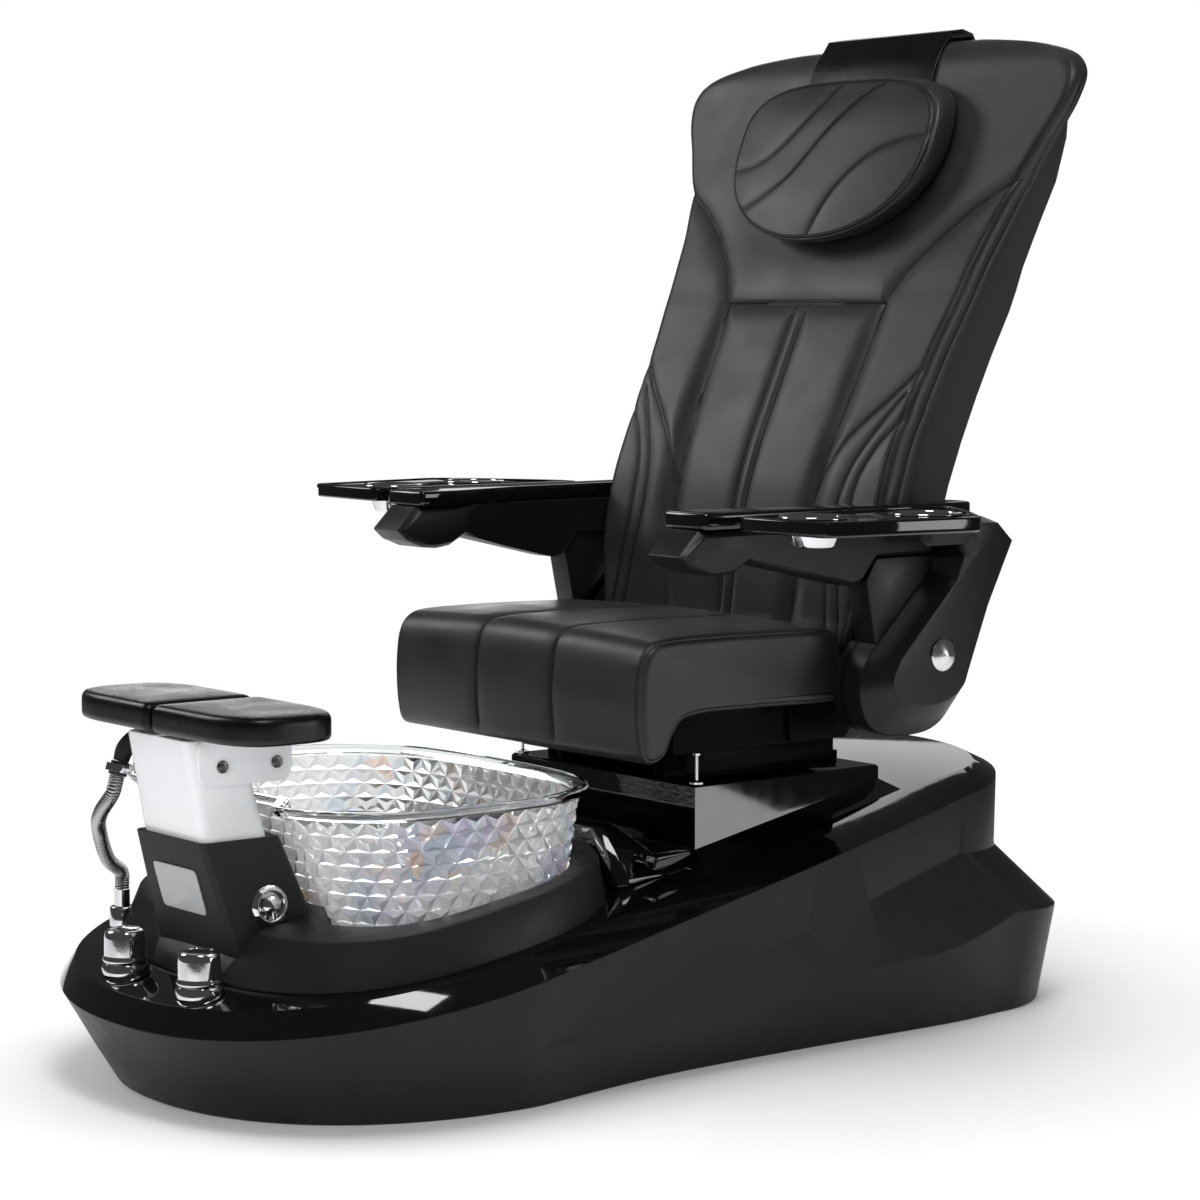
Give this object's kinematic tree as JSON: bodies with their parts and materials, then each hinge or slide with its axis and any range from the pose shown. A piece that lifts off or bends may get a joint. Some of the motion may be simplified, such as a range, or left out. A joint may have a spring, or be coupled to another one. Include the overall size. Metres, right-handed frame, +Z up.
{
  "type": "pedicure spa chair",
  "caption": "Reclining padded salon chair on a boat-shaped plinth, with swivelling arm trays, a raised footrest, a tap set and a faceted clear foot bowl.",
  "frame": {"origin": "on the floor, under the middle of the chair's bounding box", "axes": "+Z up, the sitter faces -Y, +X is the sitter's left hand"},
  "size_m": [1.2078, 1.488, 1.4045],
  "materials": {
    "shell_satin": "satin",
    "deck_gloss": "high gloss",
    "matt_black": "fine matt texture",
    "frame_black": "satin paint",
    "leather_black": "smooth coated",
    "bowl_glass": "clear faceted",
    "chrome": "polished",
    "white_gloss": "gloss",
    "panel_grey": "satin"
  },
  "bodies": {
    "base": {"base_shell": "shell_satin", "power_inlet": "matt_black", "base_deck": "deck_gloss", "bowl_collar": "shell_satin", "glass_bowl": "bowl_glass", "drain_strainer": "chrome", "jet_pump": "frame_black", "drain_housing": "deck_gloss", "plinth": "deck_gloss", "rail_right": "frame_black", "rail_left": "frame_black", "stop_pin_right": "chrome", "stop_pin_left": "chrome", "column_cover": "matt_black", "touch_panel": "panel_grey", "control_bezel": "chrome", "knob_seat_right": "chrome", "knob_seat_left": "chrome", "hose_outlet": "chrome", "shower_hose": "chrome"},
    "selector": {"control_knob": "chrome"},
    "drain": {"drain_lever": "deck_gloss"},
    "tap_right": {"knob_right": "chrome"},
    "tap_left": {"knob_left": "chrome"},
    "footrest": {"footrest_post": "white_gloss", "footrest_bracket": "white_gloss", "bracket_bolt_front": "chrome", "bracket_bolt_rear": "chrome", "foot_pad_right": "leather_black", "foot_pad_left": "leather_black", "shower_holder": "chrome"},
    "shower": {"hand_shower": "matt_black"},
    "seat": {"seat_carriage": "frame_black", "seat_frame": "frame_black", "pivot_tube": "frame_black", "seat_cushion": "leather_black"},
    "backrest": {"back_shell": "matt_black", "back_cushion": "leather_black", "pillow": "leather_black", "pillow_strap": "leather_black"},
    "arm_right": {"arm_slab_right": "deck_gloss", "arm_cover_right": "matt_black", "arm_housing_right": "matt_black", "pivot_cap_right": "chrome", "tray_bracket_right": "matt_black"},
    "arm_left": {"arm_slab_left": "deck_gloss", "arm_cover_left": "matt_black", "arm_housing_left": "matt_black", "pivot_cap_left": "chrome", "tray_bracket_left": "matt_black"},
    "tray_right": {"tray_board_right": "deck_gloss", "cup_holder_right": "chrome", "dish_ring_right": "chrome"},
    "tray_left": {"tray_board_left": "deck_gloss", "cup_holder_left": "chrome", "dish_ring_left": "chrome"}
  },
  "joints": [
    {"name": "seat_slide", "type": "slide", "parent": "base", "child": "seat", "axis": [0, -1, 0], "range_m": [0, 0.1]},
    {"name": "back_recline", "type": "hinge", "parent": "seat", "child": "backrest", "pos_m": [0, 0.314, 0.538], "axis": [-1, 0, 0], "range_deg": [0, 25]},
    {"name": "arm_lift_right", "type": "hinge", "parent": "seat", "child": "arm_right", "pos_m": [0.35, 0.314, 0.538], "axis": [-1, 0, 0], "range_deg": [0, 45]},
    {"name": "arm_lift_left", "type": "hinge", "parent": "seat", "child": "arm_left", "pos_m": [-0.35, 0.314, 0.538], "axis": [-1, 0, 0], "range_deg": [0, 45]},
    {"name": "tray_swivel_right", "type": "hinge", "parent": "arm_right", "child": "tray_right", "pos_m": [0.408, 0.272, 0.73], "axis": [0, 0, 1], "range_deg": [0, 60]},
    {"name": "tray_swivel_left", "type": "hinge", "parent": "arm_left", "child": "tray_left", "pos_m": [-0.408, 0.272, 0.73], "axis": [0, 0, -1], "range_deg": [0, 60]},
    {"name": "footrest_height", "type": "slide", "parent": "base", "child": "footrest", "axis": [0, -0.2723, 0.9622], "range_m": [0, 0.05]},
    {"name": "shower_release", "type": "slide", "parent": "footrest", "child": "shower", "axis": [-1, 0, 0], "range_m": [0, 0.04]},
    {"name": "tap_turn_right", "type": "hinge", "parent": "base", "child": "tap_right", "pos_m": [0.092, -0.671, 0.18], "axis": [0, 0, 1], "range_deg": [0, 90]},
    {"name": "tap_turn_left", "type": "hinge", "parent": "base", "child": "tap_left", "pos_m": [-0.092, -0.671, 0.18], "axis": [0, 0, 1], "range_deg": [0, 90]},
    {"name": "selector_turn", "type": "hinge", "parent": "base", "child": "selector", "pos_m": [0.09126, -0.568, 0.252], "axis": [0.9954, 0, 0.0956], "range_deg": [0, 90]},
    {"name": "drain_turn", "type": "hinge", "parent": "base", "child": "drain", "pos_m": [0.228, -0.089, 0.27887], "axis": [1, 0, 0], "range_deg": [0, 35]}
  ]
}
